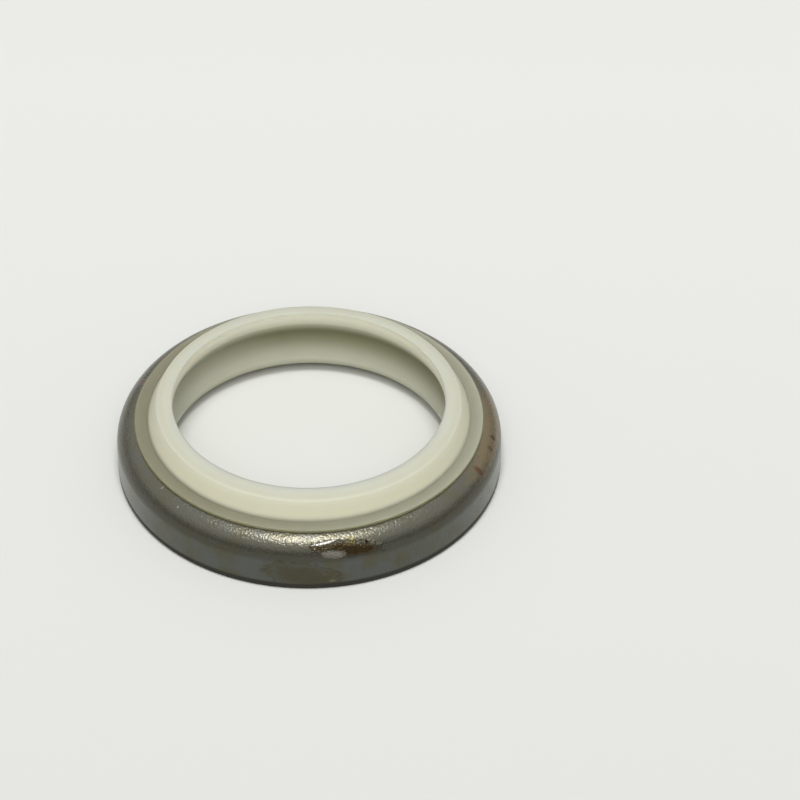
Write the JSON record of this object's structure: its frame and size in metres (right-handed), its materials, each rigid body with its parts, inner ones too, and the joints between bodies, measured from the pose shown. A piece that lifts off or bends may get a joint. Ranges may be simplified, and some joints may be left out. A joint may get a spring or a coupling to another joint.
{
  "type": "hydraulic wiper seal",
  "caption": "Metal-cased wiper seal for a hydraulic rod: a pressed L-section steel ring with a bonded polyurethane moulding that forms a raised wiper lip and an inner lip.",
  "frame": {"origin": "centre of the plane of the case's rim, on the seal's axis", "axes": "+Z along the seal's axis, from the rim towards the wiper lip; X and Y lie in the rim plane"},
  "size_m": [0.047, 0.047, 0.01],
  "materials": {
    "case_steel": "dark phosphated drawn steel, satin, with brown storage stains",
    "lip_polyurethane": "moulded cream polyurethane, slightly translucent, satin"
  },
  "bodies": {
    "root": {"steel_case": "case_steel", "lip_ring": "lip_polyurethane"}
  },
  "joints": []
}
